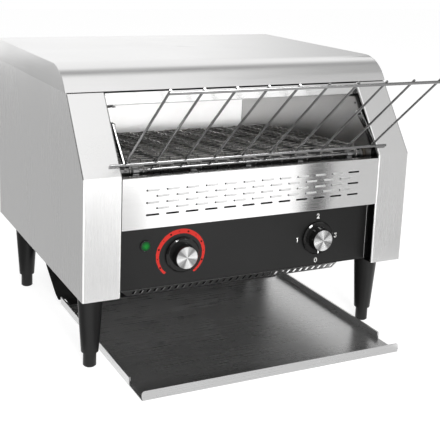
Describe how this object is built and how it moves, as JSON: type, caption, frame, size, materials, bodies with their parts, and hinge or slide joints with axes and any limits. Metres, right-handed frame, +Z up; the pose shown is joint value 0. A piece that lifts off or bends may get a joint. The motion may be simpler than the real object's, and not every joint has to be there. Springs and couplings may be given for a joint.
{
  "type": "conveyor toaster",
  "caption": "Counter-top conveyor toaster: wire feed rack, wire belt between heaters, rear drop, black chute and sliding discharge tray in a stainless casing on legs.",
  "frame": {"origin": "centre of the bounding box's bottom face, on the surface the feet stand on", "axes": "+X to the right seen from the front, +Y to the rear, +Z up"},
  "size_m": [0.481, 0.5552, 0.387],
  "materials": {
    "casing_steel": "brushed stainless sheet, satin",
    "galvanised_steel": "galvanised sheet, dull",
    "chamber_steel": "plain stainless sheet",
    "tray_steel": "stainless sheet, polished",
    "black_panel": "matt black powder coat",
    "quartz": "frosted quartz tube",
    "ceramic_cap": "white ceramic",
    "bright_wire": "bright nickel plate",
    "belt_wire": "drawn stainless wire",
    "turned_steel": "turned steel",
    "bronze_bush": "sintered bronze",
    "chain_steel": "oiled steel",
    "motor_casing": "dark enamel",
    "black_plastic": "moulded, satin",
    "switch_body": "pale moulded plastic",
    "circuit_board": "green laminate",
    "spun_aluminium": "spun face",
    "green_lens": "clear green, glossy",
    "leg_plastic": "moulded black plastic",
    "foot_plastic": "moulded black plastic"
  },
  "bodies": {
    "casing": {"base_plate": "black_panel", "belt_bends": "belt_wire", "belt_rails": "chamber_steel", "belt_runs": "belt_wire", "cable_gland": "black_plastic", "chute_slide": "black_panel", "control_board": "circuit_board", "control_panel": "black_panel", "cover_screws": "bright_wire", "drive_chain": "chain_steel", "drive_motor": "motor_casing", "fan_frame": "black_plastic", "front_header": "casing_steel", "front_left_leg": "leg_plastic", "front_right_leg": "leg_plastic", "heat_shield": "chamber_steel", "heater_caps": "ceramic_cap", "heater_guard": "bright_wire", "lamp_bezel": "black_plastic", "lamp_lens": "green_lens", "left_cheek": "chamber_steel", "left_side_panel": "casing_steel", "louvre_panel": "casing_steel", "lower_guard": "casing_steel", "lower_heaters": "quartz", "motor_bracket": "galvanised_steel", "rack_pegs": "bright_wire", "rear_left_leg": "leg_plastic", "rear_liner": "chamber_steel", "rear_panel": "casing_steel", "rear_right_leg": "leg_plastic", "right_cheek": "chamber_steel", "right_side_panel": "casing_steel", "selector_switch": "switch_body", "shaft_bushes": "bronze_bush", "speed_control": "switch_body", "terminal_block": "switch_body", "top_cover": "casing_steel", "upper_heaters": "quartz", "upper_reflector": "chamber_steel"},
    "rack": {"feed_rack": "bright_wire"},
    "discharge_tray": {"tray": "tray_steel"},
    "speed_dial": {"speed_knob": "black_plastic", "speed_knob_cap": "spun_aluminium", "speed_spindle": "turned_steel"},
    "selector_dial": {"selector_knob": "black_plastic", "selector_knob_cap": "spun_aluminium", "selector_spindle": "turned_steel"},
    "idler": {"idler_shaft": "turned_steel", "idler_sprockets": "turned_steel"},
    "drive": {"drive_shaft": "turned_steel", "drive_sprockets": "turned_steel", "chain_sprocket": "turned_steel"},
    "motor_output": {"motor_shaft": "turned_steel", "motor_sprocket": "turned_steel"},
    "fan": {"fan_rotor": "black_plastic"},
    "front_left_foot_body": {"front_left_foot": "foot_plastic"},
    "front_right_foot_body": {"front_right_foot": "foot_plastic"},
    "rear_left_foot_body": {"rear_left_foot": "foot_plastic"},
    "rear_right_foot_body": {"rear_right_foot": "foot_plastic"}
  },
  "joints": [
    {"name": "rack_hinge", "type": "hinge", "parent": "casing", "child": "rack", "pos_m": [0, -0.10708, 0.314], "axis": [-1, 0, 0], "range_deg": [0, 120]},
    {"name": "tray_slide", "type": "slide", "parent": "casing", "child": "discharge_tray", "axis": [0, -1, 0], "range_m": [0, 0.15]},
    {"name": "speed_turn", "type": "hinge", "parent": "casing", "child": "speed_dial", "pos_m": [-0.0988, -0.14608, 0.1473], "axis": [0, 1, 0], "range_deg": [0, 280]},
    {"name": "selector_turn", "type": "hinge", "parent": "casing", "child": "selector_dial", "pos_m": [0.1064, -0.14608, 0.1473], "axis": [0, 1, 0], "range_deg": [0, 270]},
    {"name": "drive_spin", "type": "hinge", "parent": "casing", "child": "drive", "pos_m": [0, 0.12692, 0.23777], "axis": [-1, 0, 0], "continuous": true},
    {"name": "idler_spin", "type": "hinge", "parent": "casing", "child": "idler", "pos_m": [0, -0.11608, 0.256], "axis": [-1, 0, 0], "continuous": true},
    {"name": "motor_spin", "type": "hinge", "parent": "casing", "child": "motor_output", "pos_m": [0.205, 0.04392, 0.16], "axis": [-1, 0, 0], "continuous": true},
    {"name": "fan_spin", "type": "hinge", "parent": "casing", "child": "fan", "pos_m": [-0.06, -0.03109, 0.12], "axis": [0, 0, 1], "continuous": true},
    {"name": "front_left_foot_screw", "type": "slide", "parent": "casing", "child": "front_left_foot_body", "axis": [0, 0, 1], "range_m": [-0.012, 0]},
    {"name": "front_right_foot_screw", "type": "slide", "parent": "casing", "child": "front_right_foot_body", "axis": [0, 0, 1], "range_m": [-0.012, 0]},
    {"name": "rear_left_foot_screw", "type": "slide", "parent": "casing", "child": "rear_left_foot_body", "axis": [0, 0, 1], "range_m": [-0.012, 0]},
    {"name": "rear_right_foot_screw", "type": "slide", "parent": "casing", "child": "rear_right_foot_body", "axis": [0, 0, 1], "range_m": [-0.012, 0]}
  ],
  "couplings": [
    {"joint": "idler_spin", "follows": "drive_spin", "ratio": 1},
    {"joint": "motor_spin", "follows": "drive_spin", "ratio": 1.5}
  ]
}
